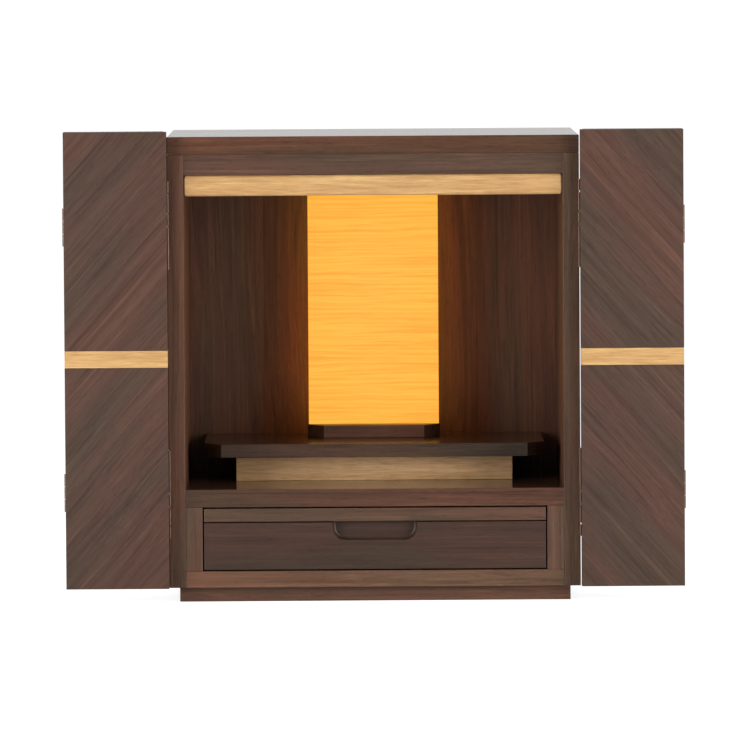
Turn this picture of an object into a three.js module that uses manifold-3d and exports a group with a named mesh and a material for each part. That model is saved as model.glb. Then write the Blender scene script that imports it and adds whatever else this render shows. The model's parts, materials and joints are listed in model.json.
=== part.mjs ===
// Household altar cabinet: a small walnut case with bi-fold doors, an altar space with a
// platform and a glowing panel, a pull-out shelf and a drawer.
// Millimetres, +Z up, -Y is the front. The origin is under the middle of the whole object,
// on the surface it stands on. The doors rest folded open beside the case.
import * as THREE from 'three';
import { mergeVertices } from 'three/addons/utils/BufferGeometryUtils.js';
import Module from 'manifold-3d';

const wasm = await Module();
wasm.setup();

// ---- driving dimensions -------------------------------------------------------------
const CASE_WIDTH = 450;
const CASE_DEPTH = 320;
const PLINTH_HEIGHT = 16;
const PLINTH_INSET = 11;
const SIDE_THICK = 18;
const BOTTOM_THICK = 18;
const SHELF_THICK = 19.5; // the top board and the altar floor
const BAY_HEIGHT = 70; // the drawer bay, between the bottom board and the altar floor
const ALTAR_HEIGHT = 366.5; // the altar space, floor to top board
const INNER_DEPTH = 300; // front edge to back panel
const BACK_THICK = 6;

const DARK_RAIL = 22.5; // heights of the two rails across the head of the opening
const OAK_RAIL = 23;
const OAK_RAIL_BACK = 2; // the oak rail stands this far behind the case's front
const OAK_RAIL_RADIUS = 4; // its two upper corners

const CHEEK_THICK = 18.5; // the drawer bay's side cheeks, seen as stiles
const LEDGE = { width: 8, height: 8, back: 24, drop: 0.5 }; // carries the pull-out shelf

const PULL_SHELF = { thick: 14.5, length: 272, top_gap: 1.5 };
const BAY_SIDE_GAP = 1.5; // cheek to drawer front and pull-out shelf
const DRAWER = { front_gap: 1, floor_gap: 1.5, front: 18, side: 10, length: 266, height: 43 };
const DRAWER_SIDE_IN = 7.5; // drawer side's outer face, in from the end of its front
const DRAWER_BOTTOM = { thick: 4, up: 5 };
const DRAWER_BACK_UP = 9; // the drawer's back stands on its bottom panel
const NOTCH = { width: 92, drop: 19.5, deep: 11, radius: 14, rim: 1.2 }; // finger notch

const PLATFORM = { front: 102, back: 297, half: 188.5, thick: 15, cut_x: 19, cut_y: 28 };
const PLATFORM_BLOCK = { front: 138, back: 290, half: 153.5, height: 28 };
const LAMP_BASE = { front: 204, back: 256, half: 74, height: 14, cut_x: 18, cut_y: 24 };
const LAMP_PANEL = { front: 230, back: 246, half: 73, height: 288 };

const LEAF_BOTTOM = 16.5; // heights of a door leaf and of the oak band through it
const LEAF_TOP = 515.5;
const BAND_BOTTOM = 258.5;
const BAND_TOP = 277;
const LEAF_THICK = 17.6;
const LEAF_CLEAR = 0.4; // leaf to case front when shut, and leaf to fold plane
const OUTER_LEAF = 112.6; // leaf hinged to the case
const INNER_LEAF = 108.7; // leaf hinged to the outer leaf, folded behind it
const DOOR_LAP = { left: 0.1, right: -0.75 }; // how far each open leaf laps over the case's side
const FOLD_PLAY = 0.3; // leaf edge to the pin between the leaves

const CASE_HINGE = { radius: 1.5, edge: 0.8, plate: 1, deep: 12, gap: 2 };
const CASE_KNUCKLES = [14.4, 21.4, 14.2, 48]; // from the hinge's far end to the door's middle
const CASE_HINGE_MID = 266.25; // the two hinges of a door mirror each other about this height
const CASE_HINGE_REACH = 196; // from there to the far end of each
const SPINE = { near: 2, far: 3, half: 1.4, tongue: 0.5 }; // the leaf half's plate, from the pin
const FOLD_HINGE = { radius: 1.6, plate: 1, deep: 12.4, knuckle: 14, gap: 0.4, heights: [121, 411.5] };
const FIT = 0.3; // room between a hinge and its mortise
const ROUND = 24; // sides of a hinge knuckle

// ---- worked out ---------------------------------------------------------------------
const LEAF_PROUD = LEAF_THICK + LEAF_CLEAR; // open leaf's face, forward of the case
const FRONT = -(CASE_DEPTH + LEAF_PROUD) / 2 + LEAF_PROUD;
const BACK = FRONT + CASE_DEPTH;
const INNER_BACK = FRONT + INNER_DEPTH;
const HALF = CASE_WIDTH / 2;
const INNER_HALF = HALF - SIDE_THICK;
const BAY_HALF = INNER_HALF - CHEEK_THICK;
const BAY_FLOOR = PLINTH_HEIGHT + BOTTOM_THICK;
const BAY_TOP = BAY_FLOOR + BAY_HEIGHT;
const ALTAR_FLOOR = BAY_TOP + SHELF_THICK;
const ALTAR_TOP = ALTAR_FLOOR + ALTAR_HEIGHT;
const CASE_TOP = ALTAR_TOP + SHELF_THICK;
const PIN_FORWARD = LEAF_CLEAR + LEAF_THICK / 2; // case hinge's pin, forward of the case

// ---- finishes -----------------------------------------------------------------------
const finish = (color, roughness, metalness = 0) =>
  new THREE.MeshStandardMaterial({ color, roughness, metalness });
const walnut = finish(0x5c4a40, 0.45);
const walnutDark = finish(0x4a3529, 0.4);
const oak = finish(0xd9b67c, 0.5);
const bronze = finish(0x6b5a4c, 0.3, 0.9);
const glow = finish(0xffbf4a, 0.6);
glow.emissive.set(0xffa82c);
const ply = finish(0xb08d62, 0.6);

// ---- solids -------------------------------------------------------------------------
const solidOf = (geometry) => {
  const bare = geometry.index ? geometry.clone() : mergeVertices(geometry);
  bare.deleteAttribute('normal');
  bare.deleteAttribute('uv');
  const merged = mergeVertices(bare, 1e-4);
  return new wasm.Manifold(new wasm.Mesh({
    numProp: 3,
    vertProperties: new Float32Array(merged.attributes.position.array),
    triVerts: new Uint32Array(merged.index.array),
  }));
};

const geometryOf = (solid) => {
  const mesh = solid.getMesh();
  const geometry = new THREE.BufferGeometry();
  geometry.setAttribute('position', new THREE.BufferAttribute(mesh.vertProperties, 3));
  geometry.setIndex(new THREE.BufferAttribute(mesh.triVerts, 1));
  geometry.computeVertexNormals();
  return geometry;
};

const join = (...geometries) => geometryOf(geometries.map(solidOf).reduce((a, b) => a.add(b)));
const cut = (geometry, ...cutters) =>
  geometryOf(cutters.map(solidOf).reduce((a, b) => a.subtract(b), solidOf(geometry)));

// a box between two corners, in its parent's frame
const block = ([x0, x1], [y0, y1], [z0, z1]) => {
  const left = Math.min(x0, x1);
  const right = Math.max(x0, x1);
  const geometry = new THREE.BoxGeometry(right - left, y1 - y0, z1 - z0);
  return geometry.translate((left + right) / 2, (y0 + y1) / 2, (z0 + z1) / 2);
};

// a plan outline raised from one height to another
const raise = (outline, z0, z1) => {
  const geometry = new THREE.ExtrudeGeometry(outline, { depth: z1 - z0, bevelEnabled: false });
  return geometry.translate(0, 0, z0);
};

// an upright pin or knuckle between two heights
const pillar = (x, y, radius, z0, z1) => {
  const geometry = new THREE.CylinderGeometry(radius, radius, z1 - z0, ROUND);
  return geometry.rotateX(Math.PI / 2).translate(x, y, (z0 + z1) / 2);
};

const place = (parent, name, geometry, material) => {
  const mesh = new THREE.Mesh(geometry, material);
  mesh.name = name;
  parent.add(mesh);
  return mesh;
};

const cabinet = new THREE.Group();
const SIDES = [['left', -1], ['right', 1]];

// ---- case hinges: where their knuckles lie -----------------------------------------
// heights of the four knuckles, from the hinge's far end towards the middle of the door
const knuckleHeights = (end, toMiddle) => {
  let z = end;
  return CASE_KNUCKLES.map((length) => {
    const start = z;
    z += toMiddle * length;
    return [Math.min(start, z) + CASE_HINGE.gap / 2, Math.max(start, z) - CASE_HINGE.gap / 2];
  });
};
const CASE_HINGES = [
  ['upper', knuckleHeights(CASE_HINGE_MID + CASE_HINGE_REACH, -1)],
  ['lower', knuckleHeights(CASE_HINGE_MID - CASE_HINGE_REACH, 1)],
];
const span = (ranges) => [Math.min(...ranges.flat()), Math.max(...ranges.flat())];
const widen = ([low, high], by) => [low - by, high + by];
const pinX = (side, s) => s * (HALF - DOOR_LAP[side] - CASE_HINGE.edge);

// ---- the case -----------------------------------------------------------------------
const buildPlinth = () => {
  const half = HALF - PLINTH_INSET;
  const front = FRONT + PLINTH_INSET;
  const back = BACK - PLINTH_INSET;
  const z = [0, PLINTH_HEIGHT];
  const across = [-half, half];
  place(cabinet, 'plinth_front', block(across, [front, front + SIDE_THICK], z), walnut);
  place(cabinet, 'plinth_back', block(across, [back - SIDE_THICK, back], z), walnut);
  for (const [side, s] of SIDES) {
    const x = [s * half, s * (half - SIDE_THICK)];
    const y = [front + SIDE_THICK, back - SIDE_THICK];
    place(cabinet, `plinth_${side}`, block(x, y, z), walnut);
  }
};

const buildSidePanel = (side, s) => {
  const panel = block([s * HALF, s * INNER_HALF], [FRONT, BACK], [PLINTH_HEIGHT, ALTAR_TOP]);
  const pin = pinX(side, s);
  const reach = [s * (HALF + 1), pin - s * (CASE_HINGE.plate / 2 + FIT)];
  const mortises = CASE_HINGES.map(([, knuckles]) =>
    block(reach, [FRONT - 1, FRONT + CASE_HINGE.deep + FIT], widen(span(knuckles.slice(1)), FIT)));
  place(cabinet, `side_panel_${side}`, cut(panel, ...mortises), walnut);
};

const buildOakRail = () => {
  const top = ALTAR_TOP - DARK_RAIL;
  const bottom = top - OAK_RAIL;
  const r = OAK_RAIL_RADIUS;
  const face = new THREE.Shape();
  face.moveTo(-INNER_HALF, bottom);
  face.lineTo(INNER_HALF, bottom);
  face.lineTo(INNER_HALF, top - r);
  face.absarc(INNER_HALF - r, top - r, r, 0, Math.PI / 2, false);
  face.absarc(-INNER_HALF + r, top - r, r, Math.PI / 2, Math.PI, false);
  face.lineTo(-INNER_HALF, bottom);
  const options = { depth: SIDE_THICK, bevelEnabled: false, curveSegments: 8 };
  const geometry = new THREE.ExtrudeGeometry(face, options).rotateX(Math.PI / 2);
  geometry.translate(0, FRONT + OAK_RAIL_BACK + SIDE_THICK, 0);
  place(cabinet, 'oak_rail', geometry, oak);
};

const buildCase = () => {
  const inside = [-INNER_HALF, INNER_HALF];
  const whole = [-HALF, HALF];
  const deep = [FRONT, BACK];
  const toBack = [FRONT, INNER_BACK];
  place(cabinet, 'top_board', block(whole, deep, [ALTAR_TOP, CASE_TOP]), walnut);
  place(cabinet, 'bottom_board', block(inside, deep, [PLINTH_HEIGHT, BAY_FLOOR]), walnut);
  place(cabinet, 'altar_floor', block(inside, toBack, [BAY_TOP, ALTAR_FLOOR]), walnut);
  const backPanel = block(inside, [INNER_BACK, INNER_BACK + BACK_THICK], [BAY_FLOOR, ALTAR_TOP]);
  place(cabinet, 'back_panel', backPanel, walnutDark);
  const head = [ALTAR_TOP - DARK_RAIL, ALTAR_TOP];
  place(cabinet, 'head_rail', block(inside, [FRONT, FRONT + SIDE_THICK], head), walnut);
  for (const [side, s] of SIDES) {
    buildSidePanel(side, s);
    const cheek = block([s * INNER_HALF, s * BAY_HALF], toBack, [BAY_FLOOR, BAY_TOP]);
    const ledgeTop = BAY_TOP - PULL_SHELF.top_gap - PULL_SHELF.thick - LEDGE.drop;
    const ledgeX = [s * (BAY_HALF + 1), s * (BAY_HALF - LEDGE.width)];
    const ledge = block(ledgeX, [FRONT + LEDGE.back, INNER_BACK], [ledgeTop - LEDGE.height, ledgeTop]);
    place(cabinet, `bay_cheek_${side}`, join(cheek, ledge), walnut);
  }
};

// ---- what stands in the altar space -------------------------------------------------
// a board in plan whose two front corners are cut off at a slant
const cutCornerBoard = ({ front, back, half, cut_x, cut_y }, z0, z1) => {
  const outline = new THREE.Shape();
  outline.moveTo(-half, FRONT + back);
  outline.lineTo(-half, FRONT + front + cut_y);
  outline.lineTo(-half + cut_x, FRONT + front);
  outline.lineTo(half - cut_x, FRONT + front);
  outline.lineTo(half, FRONT + front + cut_y);
  outline.lineTo(half, FRONT + back);
  outline.closePath();
  return raise(outline, z0, z1);
};

const standing = ({ front, back, half }, z0, height) =>
  block([-half, half], [FRONT + front, FRONT + back], [z0, z0 + height]);

const buildAltar = () => {
  const boardFloor = ALTAR_FLOOR + PLATFORM_BLOCK.height;
  const platformTop = boardFloor + PLATFORM.thick;
  const lampFloor = platformTop + LAMP_BASE.height;
  place(cabinet, 'platform_block', standing(PLATFORM_BLOCK, ALTAR_FLOOR, PLATFORM_BLOCK.height), oak);
  place(cabinet, 'platform_board', cutCornerBoard(PLATFORM, boardFloor, platformTop), walnut);
  place(cabinet, 'lamp_base', cutCornerBoard(LAMP_BASE, platformTop, lampFloor), walnutDark);
  place(cabinet, 'lamp_panel', standing(LAMP_PANEL, lampFloor, LAMP_PANEL.height), glow);
};

// ---- pull-out shelf and drawer ------------------------------------------------------
const FACE_HALF = BAY_HALF - BAY_SIDE_GAP;
const SHELF_TOP = BAY_TOP - PULL_SHELF.top_gap;
const SHELF_UNDER = SHELF_TOP - PULL_SHELF.thick;

// the notch's outline in the drawer's face, open at the top, grown by a margin
const notchOutline = (top, margin) => {
  const half = NOTCH.width / 2 + margin;
  const bottom = top - NOTCH.drop - margin;
  const r = NOTCH.radius + margin;
  const outline = new THREE.Shape();
  outline.moveTo(half, top + 5);
  outline.lineTo(-half, top + 5);
  outline.lineTo(-half, bottom + r);
  outline.absarc(-half + r, bottom + r, r, Math.PI, 1.5 * Math.PI, false);
  outline.absarc(half - r, bottom + r, r, 1.5 * Math.PI, 2 * Math.PI, false);
  outline.closePath();
  return outline;
};

// the notch cut from the face to a depth, with a slanted rim where it meets the face
const notchCutters = (top) => {
  const turn = (geometry, y) => geometry.rotateX(Math.PI / 2).translate(0, y, 0);
  const pocket = new THREE.ExtrudeGeometry(notchOutline(top, 0), {
    depth: NOTCH.deep + 2,
    bevelEnabled: false,
    curveSegments: 12,
  });
  const rim = new THREE.ExtrudeGeometry(notchOutline(top, 0), {
    depth: 2,
    bevelThickness: NOTCH.rim,
    bevelSize: NOTCH.rim,
    bevelSegments: 1,
    curveSegments: 12,
  });
  return [turn(pocket, FRONT + NOTCH.deep), turn(rim, FRONT)];
};

const buildBay = () => {
  const shelf = block([-FACE_HALF, FACE_HALF], [FRONT, FRONT + PULL_SHELF.length], [SHELF_UNDER, SHELF_TOP]);
  place(cabinet, 'pull_shelf', shelf, walnut);

  const low = BAY_FLOOR + DRAWER.floor_gap;
  const top = SHELF_UNDER - DRAWER.front_gap;
  const inFront = FRONT + DRAWER.front;
  const rear = FRONT + DRAWER.length;
  const outer = FACE_HALF - DRAWER_SIDE_IN;
  const inner = outer - DRAWER.side;
  const within = [-inner, inner];
  const rim = low + DRAWER.height;
  const front = block([-FACE_HALF, FACE_HALF], [FRONT, inFront], [low, top]);
  place(cabinet, 'drawer_front', cut(front, ...notchCutters(top)), walnutDark);
  for (const [side, s] of SIDES) {
    place(cabinet, `drawer_side_${side}`, block([s * outer, s * inner], [inFront, rear], [low, rim]), ply);
  }
  const bottom = [low + DRAWER_BOTTOM.up, low + DRAWER_BOTTOM.up + DRAWER_BOTTOM.thick];
  place(cabinet, 'drawer_bottom', block(within, [inFront, rear], bottom), ply);
  const backWall = block(within, [rear - DRAWER.side, rear], [low + DRAWER_BACK_UP, rim]);
  place(cabinet, 'drawer_back', backWall, ply);
};

// ---- doors --------------------------------------------------------------------------
// Each door is a group at its case hinge's pin. In it, u runs outwards from the pin along
// the open leaf and is turned into x by the door's side.
const LEAF_Y = [-LEAF_THICK / 2, LEAF_THICK / 2];
const FOLD_Y = PIN_FORWARD; // plane of the pins between the leaves
const FOLDED_Y = [FOLD_Y + LEAF_CLEAR, FOLD_Y + LEAF_CLEAR + LEAF_THICK];
const OUTER_EDGE = CASE_HINGE.edge + OUTER_LEAF;
const FOLD_U = OUTER_EDGE + FOLD_PLAY;

const foldSpan = (mid, from, to) => [
  mid + from * FOLD_HINGE.knuckle + FOLD_HINGE.gap / 2,
  mid + to * FOLD_HINGE.knuckle - FOLD_HINGE.gap / 2,
];
const foldWhole = (mid) => foldSpan(mid, -1.5, 1.5);

// a leaf of three boards with its hinges' mortises cut out
const buildLeaf = (door, name, s, u, y, cutters) => {
  const x = u.map((v) => s * v);
  const part = (suffix, z, material) => {
    place(door, `${name}_${suffix}`, cut(block(x, y, z), ...cutters), material);
  };
  part('lower_board', [LEAF_BOTTOM, BAND_BOTTOM], walnut);
  part('oak_band', [BAND_BOTTOM, BAND_TOP], oak);
  part('upper_board', [BAND_TOP, LEAF_TOP], walnut);
};

const foldMortises = (s, y) => FOLD_HINGE.heights.flatMap((mid) => {
  const z = widen(foldWhole(mid), FIT);
  const u = [s * (OUTER_EDGE + 1), s * (OUTER_EDGE - FOLD_HINGE.plate - FIT)];
  return [
    block(u, y, z),
    pillar(s * FOLD_U, FOLD_Y, FOLD_HINGE.radius + FIT, ...z),
  ];
});

// the leaf's half of a case hinge: first and third knuckles on a spine let into the leaf
const caseHingeLeafHalf = (s, knuckles) => {
  const mine = [knuckles[0], knuckles[2]];
  const spine = block([s * SPINE.near, s * SPINE.far], [-SPINE.half, SPINE.half], span(mine));
  const parts = mine.flatMap((z) => [
    pillar(0, 0, CASE_HINGE.radius, ...z),
    block([0, s * (SPINE.near + SPINE.far) / 2], [-SPINE.tongue, SPINE.tongue], z),
  ]);
  return join(spine, ...parts);
};

// the case's half: second and fourth knuckles on a plate let into the side panel
const caseHingeCaseHalf = (knuckles) => {
  const mine = [knuckles[1], knuckles[3]];
  const x = [-CASE_HINGE.plate / 2, CASE_HINGE.plate / 2];
  const plate = block(x, [SPINE.near, PIN_FORWARD + CASE_HINGE.deep], span(mine));
  const parts = mine.flatMap((z) => [
    pillar(0, 0, CASE_HINGE.radius, ...z),
    block(x, [0, SPINE.near + 1], z),
  ]);
  return join(plate, ...parts);
};

// one half of the hinge between the leaves; toBack is -1 on the outer leaf and 1 on the inner
const foldHingeHalf = (s, mid, toBack, knuckles) => {
  const clear = FOLD_HINGE.radius + FIT;
  const x = [s * OUTER_EDGE, s * (OUTER_EDGE - FOLD_HINGE.plate)];
  const across = (from, to) => {
    const ends = [FOLD_Y + toBack * from, FOLD_Y + toBack * to];
    return [Math.min(...ends), Math.max(...ends)];
  };
  const plate = block(x, across(clear, FOLD_HINGE.deep), foldWhole(mid));
  const parts = knuckles.flatMap((z) => [
    pillar(s * FOLD_U, FOLD_Y, FOLD_HINGE.radius, ...z),
    block(x, across(0.5, clear + 1), z),
  ]);
  return join(plate, ...parts);
};

const buildDoor = (side, s) => {
  const door = new THREE.Group();
  door.position.set(pinX(side, s), FRONT - PIN_FORWARD, 0);
  cabinet.add(door);

  const spineMortises = CASE_HINGES.map(([, knuckles]) => block(
    [0, s * (SPINE.far + FIT)],
    [-CASE_HINGE.radius - FIT, CASE_HINGE.radius + FIT],
    widen(span(knuckles), CASE_HINGE.gap / 2),
  ));
  const outerCuts = [...spineMortises, ...foldMortises(s, [FOLD_Y - FOLD_HINGE.deep - FIT, FOLD_Y])];
  const innerCuts = foldMortises(s, [FOLD_Y, FOLD_Y + FOLD_HINGE.deep + FIT]);
  const outerU = [CASE_HINGE.edge, OUTER_EDGE];
  const innerU = [OUTER_EDGE - INNER_LEAF, OUTER_EDGE];
  buildLeaf(door, `door_${side}_outer`, s, outerU, LEAF_Y, outerCuts);
  buildLeaf(door, `door_${side}_inner`, s, innerU, FOLDED_Y, innerCuts);

  for (const [level, knuckles] of CASE_HINGES) {
    const name = `case_hinge_${side}_${level}`;
    place(door, `${name}_leaf_half`, caseHingeLeafHalf(s, knuckles), bronze);
    place(door, `${name}_case_half`, caseHingeCaseHalf(knuckles), bronze);
  }
  FOLD_HINGE.heights.forEach((mid, i) => {
    const name = `fold_hinge_${side}_${['lower', 'upper'][i]}`;
    const ends = [foldSpan(mid, -1.5, -0.5), foldSpan(mid, 0.5, 1.5)];
    place(door, `${name}_outer_half`, foldHingeHalf(s, mid, -1, ends), bronze);
    place(door, `${name}_inner_half`, foldHingeHalf(s, mid, 1, [foldSpan(mid, -0.5, 0.5)]), bronze);
  });
};

buildPlinth();
buildCase();
buildOakRail();
buildAltar();
buildBay();
SIDES.forEach(([side, s]) => buildDoor(side, s));

export default cabinet;
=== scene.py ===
"""A household altar cabinet in walnut and pale oak: a case on a set-in plinth, bi-fold doors
folded open beside it, an altar space with a platform and a glowing panel, a pull-out shelf and a
drawer. Metres, +Z up, the front towards -Y. Each section makes one piece, or a group of like
pieces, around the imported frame."""

import json
import math

import bpy
import numpy as np
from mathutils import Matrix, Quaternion, Vector


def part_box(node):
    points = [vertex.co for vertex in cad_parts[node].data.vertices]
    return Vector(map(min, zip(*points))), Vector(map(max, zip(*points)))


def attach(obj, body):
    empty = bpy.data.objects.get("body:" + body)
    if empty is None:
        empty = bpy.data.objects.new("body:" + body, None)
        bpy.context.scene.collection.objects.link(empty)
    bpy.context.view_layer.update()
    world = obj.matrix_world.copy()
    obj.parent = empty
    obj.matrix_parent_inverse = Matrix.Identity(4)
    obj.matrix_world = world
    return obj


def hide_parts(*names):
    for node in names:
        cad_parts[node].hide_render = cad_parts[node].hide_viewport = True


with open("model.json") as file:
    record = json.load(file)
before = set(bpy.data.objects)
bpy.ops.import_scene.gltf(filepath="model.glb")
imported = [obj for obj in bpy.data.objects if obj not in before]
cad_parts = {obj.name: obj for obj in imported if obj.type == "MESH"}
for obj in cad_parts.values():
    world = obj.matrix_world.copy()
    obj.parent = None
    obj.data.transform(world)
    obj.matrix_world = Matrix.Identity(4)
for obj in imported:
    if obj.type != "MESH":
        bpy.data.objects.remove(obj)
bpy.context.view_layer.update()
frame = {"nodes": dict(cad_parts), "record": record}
body_of = {
    node: body
    for body, nodes in frame["record"]["behaviour"]["bodies"].items()
    for node in nodes
}

# ---- Camera --------------------------------------------------------------------------
# A long lens, eight and a half metres in front of the case and a little above it, looking
# slightly down. It is turned by a third of a degree, so level lines rise to the right.
case_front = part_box("side_panel_left")[0].y
camera_distance = 8.5
camera_roll = math.radians(-0.36)
eye = Vector((-0.0186, case_front - camera_distance, 0.7245))
aim = Vector((-0.0044, case_front, 0.25365))
camera_data = bpy.data.cameras.new("camera")
camera_data.sensor_width = 36.0
camera_data.lens = 379.0
camera_data.clip_end = 200.0
camera = bpy.data.objects.new("camera", camera_data)
bpy.context.scene.collection.objects.link(camera)
camera.location = eye
camera.rotation_mode = "QUATERNION"
look = (aim - eye).to_track_quat("-Z", "Y")
camera.rotation_quaternion = look @ Quaternion((0, 0, 1), camera_roll)
bpy.context.scene.camera = camera
bpy.context.scene.view_settings.view_transform = "Standard"


# ---- Plinth --------------------------------------------------------------------------
# Four walnut boards under the case, set in from its faces, butted at the corners and glued.
# Their arrises are only just eased with sandpaper.
def grid_quads(rows, columns, first=0, flip=False):
    """The quads of a grid of points counted row by row: each joins a point, its neighbour in the
    next row, the one beside that and the one beside the point."""
    start = first + (np.arange(rows - 1)[:, None] * columns + np.arange(columns - 1)).ravel()
    quads = np.stack([start, start + columns, start + columns + 1, start + 1], axis=1)
    return quads[:, ::-1] if flip else quads


def merged(points, faces):
    """The same surface with each place held once: points are equal when they agree to 1 µm."""
    keys = np.round(points * 1e6).astype(np.int64)
    _, kept, where = np.unique(keys, axis=0, return_index=True, return_inverse=True)
    return points[kept], where.reshape(-1)[faces]


def make_piece(name, points, faces):
    """A mesh object at the origin from an array of points and a list or array of faces."""
    mesh = bpy.data.meshes.new(name)
    mesh.from_pydata(points.tolist(), [], [list(map(int, face)) for face in faces])
    mesh.update()
    piece = bpy.data.objects.new(name, mesh)
    bpy.context.scene.collection.objects.link(piece)
    return piece


def board_surface(low, high, radius, steps=3):
    """A box with rounded arrises: a point is the nearest corner of the core box, moved out by the
    radius along a unit vector. Over a face the vector's two slopes run from -1 to 1 with zero
    held twice, and the face's flat lies between its two zeros."""
    low, high = np.array(low, float), np.array(high, float)
    slope = np.tan(np.linspace(0, np.pi / 4, steps + 1))
    slopes = np.concatenate([-slope[::-1], slope])
    upper = np.arange(slopes.size) > steps
    across, up = np.meshgrid(slopes, slopes, indexing="ij")
    across_upper, up_upper = np.meshgrid(upper, upper, indexing="ij")
    points, faces = [], []
    for axis in range(3):
        first, second = (axis + 1) % 3, (axis + 2) % 3
        for sign in (-1, 1):
            way = np.zeros(across.shape + (3,))
            way[..., axis], way[..., first], way[..., second] = sign, across, up
            way /= np.linalg.norm(way, axis=-1, keepdims=True)
            at_high = np.zeros(way.shape, bool)
            at_high[..., axis] = sign > 0
            at_high[..., first], at_high[..., second] = across_upper, up_upper
            core = np.where(at_high, high - radius, low + radius)
            count = sum(len(p) for p in points)
            faces.append(grid_quads(slopes.size, slopes.size, count, flip=sign < 0))
            points.append((core + radius * way).reshape(-1, 3))
    return merged(np.concatenate(points), np.concatenate(faces))


def smooth_but_sharp(piece, sharp_degrees=35):
    """Smooth shading that keeps true corners, with wide flats holding their own normals."""
    piece.data.shade_smooth()
    piece.data.set_sharp_from_angle(angle=math.radians(sharp_degrees))
    weighted = piece.modifiers.new("weighted", "WEIGHTED_NORMAL")
    weighted.keep_sharp = True
    return piece


def finished(piece, material, slot, *nodes):
    """The piece stands for its CAD nodes, rides on their body and wears its material."""
    piece.data.materials.clear()
    piece.data.materials.append(material)
    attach(piece, body_of[nodes[0]])
    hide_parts(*nodes)
    return piece


def board(node, material, slot, radius):
    """A plain board with eased arrises, in the place of its CAD node."""
    piece = make_piece(node + "_finish", *board_surface(*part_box(node), radius))
    return finished(smooth_but_sharp(piece), material, slot, node)


class Wire:
    """A shader socket that takes part in sums: each operator adds one Math node."""

    def __init__(self, shader, socket):
        self.shader = shader
        self.socket = socket

    def math(self, operation, *values):
        return self.shader.node("ShaderNodeMath", {"operation": operation}, *values)

    def __add__(self, other):
        return self.math("ADD", self, other)

    def __sub__(self, other):
        return self.math("SUBTRACT", self, other)

    def __mul__(self, other):
        return self.math("MULTIPLY", self, other)

    def __rsub__(self, other):
        return self.math("SUBTRACT", other, self)

    __radd__ = __add__
    __rmul__ = __mul__


class Shader:
    """One material's nodes, ending in a Principled shader."""

    def __init__(self, name):
        self.material = bpy.data.materials.new(name)
        self.material.use_nodes = True
        self.tree = self.material.node_tree
        self.surface = self.tree.nodes["Principled BSDF"]

    def plug(self, socket, value):
        if isinstance(value, Wire):
            self.tree.links.new(value.socket, socket)
        elif isinstance(value, (tuple, list)) and socket.type == "RGBA":
            socket.default_value = (*value[:3], 1.0)
        else:
            socket.default_value = value

    def node(self, kind, settings=None, *values, output=0, **named):
        """Adds a node: its settings, then its sockets in order or by name, and returns one output.
        A ramp's stops are given as (position, colour or grey) pairs."""
        made = self.tree.nodes.new(kind)
        for key, value in (settings or {}).items():
            if key == "stops":
                ramp = made.color_ramp
                while len(ramp.elements) < len(value):
                    ramp.elements.new(1.0)
                for element, (position, colour) in zip(ramp.elements, value):
                    grey = not isinstance(colour, (tuple, list))
                    element.position = position
                    element.color = (colour, colour, colour, 1.0) if grey else (*colour, 1.0)
            else:
                setattr(made, key, value)
        for number, value in enumerate(values):
            self.plug(made.inputs[number], value)
        for key, value in named.items():
            self.plug(made.inputs[key.replace("_", " ")], value)
        return Wire(self, made.outputs[output])

    def set(self, **named):
        for key, value in named.items():
            self.plug(self.surface.inputs[key.replace("_", " ")], value)

    def vector(self, operation, *values):
        return self.node("ShaderNodeVectorMath", {"operation": operation}, *values)

    def mix(self, share, one, other, blend="MIX"):
        """A colour between two, or with one laid over the other by a blend type."""
        made = self.tree.nodes.new("ShaderNodeMix")
        made.data_type = "RGBA"
        made.blend_type = blend
        self.plug(made.inputs[0], share)
        self.plug(made.inputs[6], one)
        self.plug(made.inputs[7], other)
        return Wire(self, made.outputs[2])

    def place(self, shift=(0.0, 0.0, 0.0)):
        """The point in metres, moved so that each board is cut from another part of the log."""
        point = self.node("ShaderNodeTexCoord", output=3)
        return self.vector("ADD", point, shift)

    def stretched(self, place, along, across_scale, along_scale):
        """The point scaled by one number along the grain and another across it: p * across +
        along * (p . along) * (along_scale - across_scale)."""
        length = self.node(
            "ShaderNodeVectorMath", {"operation": "DOT_PRODUCT"}, place, along, output=1
        )
        scaled = self.node("ShaderNodeVectorMath", {"operation": "SCALE"}, place, Scale=across_scale)
        more = self.node(
            "ShaderNodeVectorMath",
            {"operation": "SCALE"},
            along,
            Scale=length * (along_scale - across_scale),
        )
        return self.vector("ADD", scaled, more)

    def grain(self, place, along, across_scale, along_scale, detail=2.0, roughness=0.5):
        """Noise drawn out along the grain, with its scales across and along it per metre."""
        return self.node(
            "ShaderNodeTexNoise",
            None,
            Vector=self.stretched(place, along, across_scale, along_scale),
            Scale=1.0,
            Detail=detail,
            Roughness=roughness,
        )

    def ramp(self, value, *stops):
        return self.node("ShaderNodeValToRGB", {"stops": stops}, value)


def srgb(red, green, blue):
    """A colour in linear light from its three values of 0 to 255."""
    values = np.array([red, green, blue]) / 255.0
    linear = np.where(values <= 0.04045, values / 12.92, ((values + 0.055) / 1.055) ** 2.4)
    return tuple(float(value) for value in linear)


X, Y, Z = (1.0, 0.0, 0.0), (0.0, 1.0, 0.0), (0.0, 0.0, 1.0)
board_count = 0


def next_board(step):
    """The next board's shift in metres: the step taken once more for each board cut so far."""
    global board_count
    board_count += 1
    return tuple(board_count * part for part in step)


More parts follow.
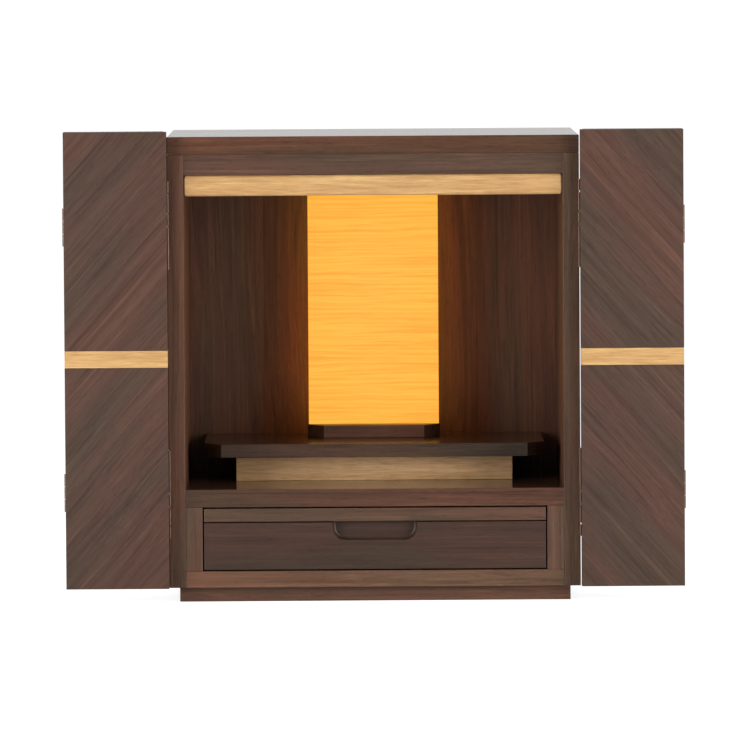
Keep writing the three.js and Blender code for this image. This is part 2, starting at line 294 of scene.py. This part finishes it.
def walnut(name, along, dark, light, gloss=0.42, contrast=1.0):
    """Straight-grained walnut under matt lacquer: slow drifts between a redder and a greyer
    brown, streaks a few millimetres wide, scattered pale lines and dark veins, and short dark
    pores, all drawn out along the grain and wandering a little."""
    redder, greyer, tinting = (1.16, 0.92, 0.90), (0.92, 1.03, 0.98), 0.8
    paler, darker, in_pore = (1.55, 1.5, 1.4), (0.55, 0.52, 0.50), (0.42, 0.38, 0.35)
    spread = 0.13 / contrast
    shader = Shader(name)
    place = shader.place(next_board((0.37, 0.61, 0.83)))
    waver = (shader.grain(place, along, 9.0, 4.0, detail=1.0) - 0.5) * 0.02
    place = shader.vector("ADD", place, shader.node("ShaderNodeCombineXYZ", None, waver, waver))
    drift = shader.grain(place, along, 15.0, 3.0, detail=3.0)
    streak = shader.grain(place, along, 120.0, 2.4, detail=5.0, roughness=0.62)
    line = shader.grain(place, along, 560.0, 11.0, detail=3.0, roughness=0.6)
    pale = shader.grain(place, along, 300.0, 4.5, detail=1.0)
    vein = shader.grain(place, along, 230.0, 3.1, detail=2.0)
    pore = shader.grain(place, along, 1700.0, 80.0, detail=1.0)
    tone = drift * 0.25 + streak * 0.45 + line * 0.3
    figure = shader.ramp(tone, (0.5 - spread, 0.0), (0.5 + spread, 1.0))
    colour = shader.mix(figure, dark, light)
    reddish = shader.ramp(drift, (0.42, 0.0), (0.62, tinting))
    colour = shader.mix(reddish, colour, redder, "MULTIPLY")
    greyish = shader.ramp(drift, (0.38, tinting), (0.52, 0.0))
    colour = shader.mix(greyish, colour, greyer, "MULTIPLY")
    pale_lines = shader.ramp(pale, (0.60, 0.0), (0.72, 0.55 * contrast))
    colour = shader.mix(pale_lines, colour, paler, "MULTIPLY")
    veins = shader.ramp(vein, (0.58, 0.0), (0.70, 0.65 * contrast))
    colour = shader.mix(veins, colour, darker, "MULTIPLY")
    pores = shader.ramp(pore, (0.58, 0.0), (0.68, 0.5))
    colour = shader.mix(pores, colour, in_pore, "MULTIPLY")
    bump = shader.node(
        "ShaderNodeBump", None, Strength=0.35, Distance=0.0001, Height=line * 0.5 - pores
    )
    shader.set(
        Base_Color=colour,
        Roughness=figure * 0.05 + veins * 0.05 + gloss,
        Specular_IOR_Level=0.3,
        Normal=bump,
    )
    return shader.material


for side in ("front", "back", "left", "right"):
    node = "plinth_" + side
    grain = X if side in ("front", "back") else Y
    plinth_walnut = walnut("walnut_" + node, grain, srgb(68, 48, 35), srgb(92, 68, 52))
    board(node, plinth_walnut, "walnut", radius=0.0006)

# ---- Case boards ---------------------------------------------------------------------
# Walnut boards: two sides and a bottom carried on the plinth, a top laid over the sides, and a
# thin back let in between them. The altar floor and the head rail run from side to side. The
# sides' front edges are cut out for the hinge plates.
HINGE_FIT = 0.0003


def reshaped(piece, operation, surfaces):
    """The piece with closed surfaces, given as (points, faces), taken out or joined on."""
    tools = []
    for number, surface in enumerate(surfaces):
        tool = make_piece(f"tool_{number}", *surface)
        step = piece.modifiers.new(f"step_{number}", "BOOLEAN")
        step.object = tool
        step.operation = operation
        step.solver = "EXACT"
        tools.append(tool)
    shaped = piece.evaluated_get(bpy.context.evaluated_depsgraph_get())
    mesh = bpy.data.meshes.new_from_object(shaped)
    piece.modifiers.clear()
    piece.data = mesh
    for tool in tools:
        bpy.data.objects.remove(tool)
    return piece


def plain_box(low, high):
    """The eight corners and six faces of a box, facing outwards."""
    corners = np.array([[(low, high)[(i >> a) & 1][a] for a in range(3)] for i in range(8)], float)
    faces = [[0, 2, 3, 1], [4, 5, 7, 6], [0, 1, 5, 4], [2, 6, 7, 3], [0, 4, 6, 2], [1, 3, 7, 5]]
    return corners, np.array(faces)


case_walnut = {
    "bottom_board": (srgb(80, 56, 41), srgb(106, 80, 60), 0.42, 0.0008),
    "top_board": (srgb(70, 47, 34), srgb(92, 66, 50), 0.18, 0.0008),
    "altar_floor": (srgb(62, 42, 31), srgb(86, 62, 48), 0.1, 0.0008),
    "head_rail": (srgb(64, 45, 34), srgb(86, 64, 51), 0.42, 0.0005),
}
for node, (dark, light, gloss, easing) in case_walnut.items():
    board(node, walnut("walnut_" + node, X, dark, light, gloss=gloss), "walnut", easing)

past_pin, past_face = 0.0008, 0.01
for side, outward in (("left", -1), ("right", 1)):
    node = "side_panel_" + side
    low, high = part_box(node)
    holes = []
    for level in ("upper", "lower"):
        plate_low, plate_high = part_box(f"case_hinge_{side}_{level}_case_half")
        pin = (plate_low.x + plate_high.x) / 2
        inner = pin - outward * past_pin
        outer = outward * (abs(inner) + 2 * past_face)
        holes.append(plain_box(
            (min(inner, outer), low.y - past_face, plate_low.z - HINGE_FIT),
            (max(inner, outer), plate_high.y + HINGE_FIT, plate_high.z + HINGE_FIT),
        ))
    panel = make_piece(node + "_finish", *board_surface(low, high, radius=0.0008))
    smooth_but_sharp(reshaped(panel, "DIFFERENCE", holes))
    finished(panel, walnut("walnut_" + node, Z, srgb(72, 49, 36), srgb(96, 70, 53)), "walnut", node)

board(
    "back_panel",
    walnut("walnut_back_panel", Z, srgb(66, 44, 31), srgb(98, 69, 50), contrast=1.1),
    "dark_walnut",
    radius=0.0003,
)

# ---- Oak rail ------------------------------------------------------------------------
# A pale oak board across the head of the opening, a little behind the case's front. All its
# edges are rounded over, and it is glued up under the walnut rail.
def oak(name, along, dark, light, fleck=0.35):
    """Pale oak under matt lacquer: a soft drift, and open pores as short darker dashes."""
    in_pore = (0.62, 0.48, 0.34)
    shader = Shader(name)
    place = shader.place(next_board((0.29, 0.53, 0.71)))
    drift = shader.grain(place, along, 60.0, 3.0, detail=3.0)
    streak = shader.grain(place, along, 420.0, 24.0, detail=3.0, roughness=0.6)
    dash = shader.grain(place, along, 900.0, 70.0, detail=2.0, roughness=0.55)
    colour = shader.mix(shader.ramp(drift * 0.5 + streak * 0.5, (0.4, 0.0), (0.62, 1.0)), dark, light)
    dashes = shader.ramp(dash, (0.52, 0.0), (0.68, fleck))
    colour = shader.mix(dashes, colour, in_pore, "MULTIPLY")
    bump = shader.node("ShaderNodeBump", None, Strength=0.4, Distance=0.0001, Height=1.0 - dashes)
    shader.set(Base_Color=colour, Roughness=dashes * 0.1 + 0.5, Normal=bump)
    return shader.material


board(
    "oak_rail",
    oak("oak_rail_wood", X, srgb(172, 130, 80), srgb(204, 164, 108)),
    "oak",
    radius=0.0035,
)

# ---- Drawer bay ----------------------------------------------------------------------
# Two walnut cheeks stand between the bottom board and the altar floor. Their front ends show as
# stiles, and each carries a ledge that the pull-out shelf slides on.
shelf_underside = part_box("pull_shelf")[0].z
ledge_width, ledge_height, ledge_gap = 0.008, 0.008, 0.0005
ledge_front, ledge_back, ledge_root = 0.024, 0.001, 0.002
for side, outward in (("left", -1), ("right", 1)):
    node = "bay_cheek_" + side
    low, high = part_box(node)
    cheek_low, cheek_high = low.copy(), high.copy()
    ledge_low, ledge_high = low.copy(), high.copy()
    ledge_low.y += ledge_front
    ledge_high.y -= ledge_back
    ledge_high.z = shelf_underside - ledge_gap
    ledge_low.z = ledge_high.z - ledge_height
    if outward > 0:
        cheek_low.x += ledge_width
        ledge_high.x = cheek_low.x + ledge_root
    else:
        cheek_high.x -= ledge_width
        ledge_low.x = cheek_high.x - ledge_root
    piece = make_piece(node + "_finish", *board_surface(cheek_low, cheek_high, radius=0.0006))
    ledge = board_surface(ledge_low, ledge_high, radius=0.0004)
    smooth_but_sharp(reshaped(piece, "UNION", [ledge]))
    stile_walnut = walnut("walnut_" + node, Z, srgb(72, 51, 39), srgb(96, 71, 56))
    finished(piece, stile_walnut, "walnut", node)

# ---- Pull-out shelf ------------------------------------------------------------------
# One walnut board above the drawer. It slides out on the cheeks' ledges, and offerings are
# set down on it.
board(
    "pull_shelf",
    walnut("walnut_pull_shelf", X, srgb(68, 48, 36), srgb(92, 68, 53)),
    "walnut",
    radius=0.0008,
)

# ---- Drawer --------------------------------------------------------------------------
# A walnut front with a blind finger notch milled into its top edge, on a pale wooden box whose
# sides are rebated into the front. The bottom slides in grooves.
def ring_faces(rings, around, flip=False):
    """The faces of a stack of like rings of points, closed by a flat cap at each end."""
    ring = np.arange(around)
    after = (ring + 1) % around
    first = np.arange(rings - 1)[:, None] * around
    corners = [first + ring, first + after, first + around + after, first + around + ring]
    walls = np.stack([corner.ravel() for corner in corners], axis=1)
    caps = [ring[::-1], ring + (rings - 1) * around]
    faces = walls.tolist() + [cap.tolist() for cap in caps]
    return [face[::-1] for face in faces] if flip else faces


def notch_surface(low, high, width, drop, corner, deep, rim, cove):
    """A closed cutter for the notch: a stadium outline open upwards, carried from outside the
    face to the notch's back. The outline is grown near the face by the rim's slant, and shrinks
    at the back by a cove's quarter circle."""
    outside, above = 0.003, 0.004
    turn = np.linspace(0, np.pi / 2, 13)
    middle = (low.x + high.x) / 2
    bend = np.linspace(0, np.pi / 2, 7)
    depth = np.concatenate([[-outside, 0.0, rim], deep - cove + cove * np.sin(bend)])
    growth = np.concatenate([[rim + outside, rim, 0.0], -cove * (1 - np.cos(bend))])
    radius = corner + growth[:, None]
    centre_x = width / 2 - corner
    centre_z = high.z - drop + corner
    right_x = middle + centre_x + radius * np.sin(turn)
    right_z = centre_z - radius * np.cos(turn)
    left_x = middle - centre_x - radius * np.cos(turn)
    left_z = centre_z - radius * np.sin(turn)
    top = np.full((depth.size, 1), high.z + above)
    x = np.concatenate([left_x[:, :1], left_x, right_x, right_x[:, -1:]], axis=1)
    z = np.concatenate([top, left_z, right_z, top], axis=1)
    y = np.broadcast_to(low.y + depth[:, None], x.shape)
    points = np.stack([x, y, z], axis=-1)
    return points.reshape(-1, 3), ring_faces(*x.shape, flip=True)


low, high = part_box("drawer_front")
face = make_piece("drawer_front_finish", *board_surface(low, high, radius=0.0007))
notch = notch_surface(
    low, high, width=0.092, drop=0.0195, corner=0.014, deep=0.011, rim=0.0012, cove=0.004
)
smooth_but_sharp(reshaped(face, "DIFFERENCE", [notch]), sharp_degrees=28)
drawer_walnut = walnut("walnut_drawer_front", X, srgb(50, 35, 27), srgb(70, 50, 40), contrast=0.9)
finished(face, drawer_walnut, "dark_walnut", "drawer_front")
for node in ("drawer_side_left", "drawer_side_right", "drawer_back", "drawer_bottom"):
    grain = X if node in ("drawer_back", "drawer_bottom") else Y
    box_wood = oak("box_wood_" + node, grain, srgb(176, 142, 100), srgb(200, 168, 124), fleck=0.15)
    board(node, box_wood, "drawer_box_wood", radius=0.0006)

# ---- Platform ------------------------------------------------------------------------
# An oak block carries a wider walnut board whose two front corners are sawn off. Both simply
# rest on the altar floor.
def prism_surface(outline, bottom, top, radius, steps=3):
    """A plan outline, anticlockwise, raised with rounded rims: near each end the outline is set
    in by radius * (1 - cos t) along its mitred normals while the height turns by sin t."""
    outline = np.array(outline, float)
    ahead = np.roll(outline, -1, axis=0) - outline
    ahead /= np.linalg.norm(ahead, axis=1, keepdims=True)
    normal = np.stack([ahead[:, 1], -ahead[:, 0]], axis=1)
    before = np.roll(normal, 1, axis=0)
    mitre = (normal + before) / (1 + (normal * before).sum(axis=1, keepdims=True))
    turn = np.linspace(0, np.pi / 2, steps + 1)
    inset = radius * (1 - np.sin(turn))
    height = bottom + radius * (1 - np.cos(turn))
    insets = np.concatenate([inset, inset[::-1]])
    heights = np.concatenate([height, top + bottom - height[::-1]])
    plan = outline[None] - insets[:, None, None] * mitre[None]
    level = np.broadcast_to(heights[:, None, None], plan.shape[:2] + (1,))
    points = np.concatenate([plan, level], axis=2)
    return points.reshape(-1, 3), ring_faces(*plan.shape[:2])


def cut_corner_outline(low, high, cut_x, cut_y):
    """A rectangle in plan, anticlockwise from the front left, with its front corners cut off."""
    return [
        (low.x + cut_x, low.y), (high.x - cut_x, low.y), (high.x, low.y + cut_y),
        (high.x, high.y), (low.x, high.y), (low.x, low.y + cut_y),
    ]


board(
    "platform_block",
    oak("oak_platform_block", X, srgb(176, 136, 90), srgb(208, 166, 120), fleck=0.5),
    "oak",
    radius=0.0006,
)
low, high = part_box("platform_board")
outline = cut_corner_outline(low, high, cut_x=0.019, cut_y=0.028)
platform_surface = prism_surface(outline, low.z, high.z, radius=0.0008)
platform = smooth_but_sharp(make_piece("platform_board_finish", *platform_surface))
platform_walnut = walnut(
    "walnut_platform_board", X, srgb(56, 41, 31), srgb(78, 60, 47), gloss=0.14
)
finished(platform, platform_walnut, "walnut", "platform_board")

# ---- Lamp ----------------------------------------------------------------------------
# A flat panel of thin pale veneer, lit from inside, stands on a low dark base with its front
# corners cut off.
low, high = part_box("lamp_base")
outline = cut_corner_outline(low, high, cut_x=0.018, cut_y=0.024)
base_surface = prism_surface(outline, low.z, high.z, radius=0.0008)
lamp_base = smooth_but_sharp(make_piece("lamp_base_finish", *base_surface))
base_walnut = walnut("walnut_lamp_base", X, srgb(84, 56, 42), srgb(112, 78, 60), gloss=0.35)
finished(lamp_base, base_walnut, "dark_walnut", "lamp_base")


def glowing_veneer(name, rear_y):
    """Veneer lit from inside: grain lines lie level and waver. The rear glows more strongly, and
    lights the back of the case."""
    rear_glow = (2.6, 1.25, 0.2)
    per_metre = 10.0
    shader = Shader(name)
    place = shader.place()
    wander = shader.grain(place, X, 30.0, 9.0, detail=2.0)
    shifted = shader.vector(
        "ADD", place, shader.node("ShaderNodeCombineXYZ", None, Z=(wander - 0.5) * 0.008)
    )
    line = shader.grain(shifted, X, 330.0, 4.5, detail=3.0, roughness=0.6)
    fine = shader.grain(shifted, X, 900.0, 30.0, detail=2.0)
    grain = shader.ramp(line * 0.7 + fine * 0.3, (0.40, 0.0), (0.56, 1.0))
    glow = shader.mix(grain, (0.92, 0.33, 0.022), (1.02, 0.45, 0.042))
    depth = shader.node("ShaderNodeSeparateXYZ", None, place, output=1)
    rear_start, rear_end = per_metre * (rear_y - 0.004), per_metre * (rear_y - 0.001)
    rear = shader.ramp(depth * per_metre, (rear_start, 0.0), (rear_end, 1.0))
    glow = shader.mix(rear, glow, rear_glow)
    shader.set(
        Base_Color=srgb(140, 100, 55),
        Roughness=0.55,
        Emission_Color=glow,
        Emission_Strength=1.0,
    )
    return shader.material


lit_veneer = glowing_veneer("lit_veneer", rear_y=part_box("lamp_panel")[1].y)
board("lamp_panel", lit_veneer, "glowing_panel", radius=0.001)

# ---- Doors ---------------------------------------------------------------------------
# Each door is two leaves folded together. A leaf is two walnut panels, veneered at a slant,
# with a flush oak band between them, and its edges are cut out for the hinges.
SLANT = math.radians(48)
KNUCKLE_FIT = 0.001


def leaf_holes(side, leaf):
    """The mortises of a leaf: a box around each hinge half let into its edges."""
    holes = []
    if leaf == "outer":
        for level in ("upper", "lower"):
            spine_low, spine_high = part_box(f"case_hinge_{side}_{level}_leaf_half")
            case_low, case_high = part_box(f"case_hinge_{side}_{level}_case_half")
            bottom = min(spine_low.z, case_low.z) - KNUCKLE_FIT
            top = max(spine_high.z, case_high.z) + KNUCKLE_FIT
            holes.append(plain_box(
                (spine_low.x - HINGE_FIT, spine_low.y - HINGE_FIT, bottom),
                (spine_high.x + HINGE_FIT, spine_high.y + HINGE_FIT, top),
            ))
    for level in ("upper", "lower"):
        low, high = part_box(f"fold_hinge_{side}_{level}_{leaf}_half")
        holes.append(plain_box(
            (low.x - HINGE_FIT, low.y - HINGE_FIT, low.z - HINGE_FIT),
            (high.x + HINGE_FIT, high.y + HINGE_FIT, high.z + HINGE_FIT),
        ))
    return holes


for side, outward in (("left", -1), ("right", 1)):
    for leaf in ("outer", "inner"):
        slant = -outward if leaf == "outer" else outward
        along = (slant * math.cos(SLANT), 0.0, math.sin(SLANT))
        for part in ("lower_board", "oak_band", "upper_board"):
            node = f"door_{side}_{leaf}_{part}"
            if part == "oak_band":
                wood = oak("oak_" + node, X, srgb(172, 130, 78), srgb(204, 164, 106))
                slot = "oak"
            else:
                wood = walnut("walnut_" + node, along, srgb(60, 42, 33), srgb(82, 61, 50))
                slot = "walnut"
            panel = make_piece(node + "_finish", *board_surface(*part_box(node), radius=0.0005))
            smooth_but_sharp(reshaped(panel, "DIFFERENCE", leaf_holes(side, leaf)))
            finished(panel, wood, slot, node)

# ---- Hinges --------------------------------------------------------------------------
# Small bronzed brass hinges: knuckled barrels on narrow plates let into the wood. Two join each
# door to the case, and two join its leaves.
def bronzed(name):
    """Dark bronzed brass: brown with a faint mottle and a satin sheen."""
    shader = Shader(name)
    mottle = shader.grain(shader.place(), Z, 260.0, 90.0, detail=3.0)
    colour = shader.mix(mottle, srgb(72, 52, 42), srgb(118, 92, 76))
    shader.set(Base_Color=colour, Roughness=mottle * 0.15 + 0.32, Metallic=0.7)
    return shader.material


hinge_bronze = bronzed("hinge_bronze")
for node, piece in frame["nodes"].items():
    if "hinge" in node:
        piece.data.materials.clear()
        piece.data.materials.append(hinge_bronze)

# ---- Studio --------------------------------------------------------------------------
# A white table lit from below stands in for the floor. Two broad soft boxes stand left and right
# of the camera at the cabinet's own height, a third hangs overhead, and the room is dim.
floor_reach = 250.0
floor_corners = [(-1, -1, 0), (1, -1, 0), (1, 1, 0), (-1, 1, 0)]
floor = make_piece("floor", np.array(floor_corners, float) * floor_reach, [[0, 1, 2, 3]])
floor_paint = Shader("pale_floor")
to_lens = floor_paint.node("ShaderNodeLightPath")
shed, seen = (0.25, 0.25, 0.25), (0.86, 0.86, 0.86)
floor_paint.set(
    Base_Color=(0.5, 0.5, 0.5),
    Roughness=0.9,
    Specular_IOR_Level=0.0,
    Emission_Color=floor_paint.mix(to_lens, shed, seen),
    Emission_Strength=1.0,
)
floor.data.materials.append(floor_paint.material)

dim, bright = 0.2, 1.0
world = bpy.data.worlds.new("surround")
world.use_nodes = True
sky = world.node_tree
direction = sky.nodes.new("ShaderNodeTexCoord")
split = sky.nodes.new("ShaderNodeSeparateXYZ")
behind = sky.nodes.new("ShaderNodeMapRange")
behind.inputs["From Min"].default_value = 0.2
behind.inputs["From Max"].default_value = 0.8
behind.inputs["To Min"].default_value = dim
behind.inputs["To Max"].default_value = bright
sky.links.new(direction.outputs["Generated"], split.inputs[0])
sky.links.new(split.outputs["Y"], behind.inputs["Value"])
sky.links.new(behind.outputs["Result"], sky.nodes["Background"].inputs["Strength"])
sky.nodes["Background"].inputs["Color"].default_value = (1.0, 1.0, 1.0, 1.0)
bpy.context.scene.world = world

cabinet_middle = Vector((0, 0, 0.25))


def soft_box(name, azimuth, elevation, distance, size, watts):
    """A square area light turned to the cabinet's middle, from an azimuth off its front."""
    data = bpy.data.lights.new(name, "AREA")
    data.size = size
    data.energy = watts
    light = bpy.data.objects.new(name, data)
    turn, rise = math.radians(azimuth), math.radians(elevation)
    way = Vector((math.sin(turn) * math.cos(rise), -math.cos(turn) * math.cos(rise), math.sin(rise)))
    light.location = cabinet_middle + way * distance
    light.rotation_euler = way.to_track_quat("Z", "Y").to_euler()
    light.visible_camera = False
    bpy.context.scene.collection.objects.link(light)


for side, outward in (("left", -1), ("right", 1)):
    soft_box(side + "_soft_box", outward * 48, elevation=6, distance=1.8, size=0.9, watts=24)
soft_box("overhead_soft_box", 0, elevation=75, distance=2.5, size=1.6, watts=14)

bpy.context.scene.cycles.use_denoising = True
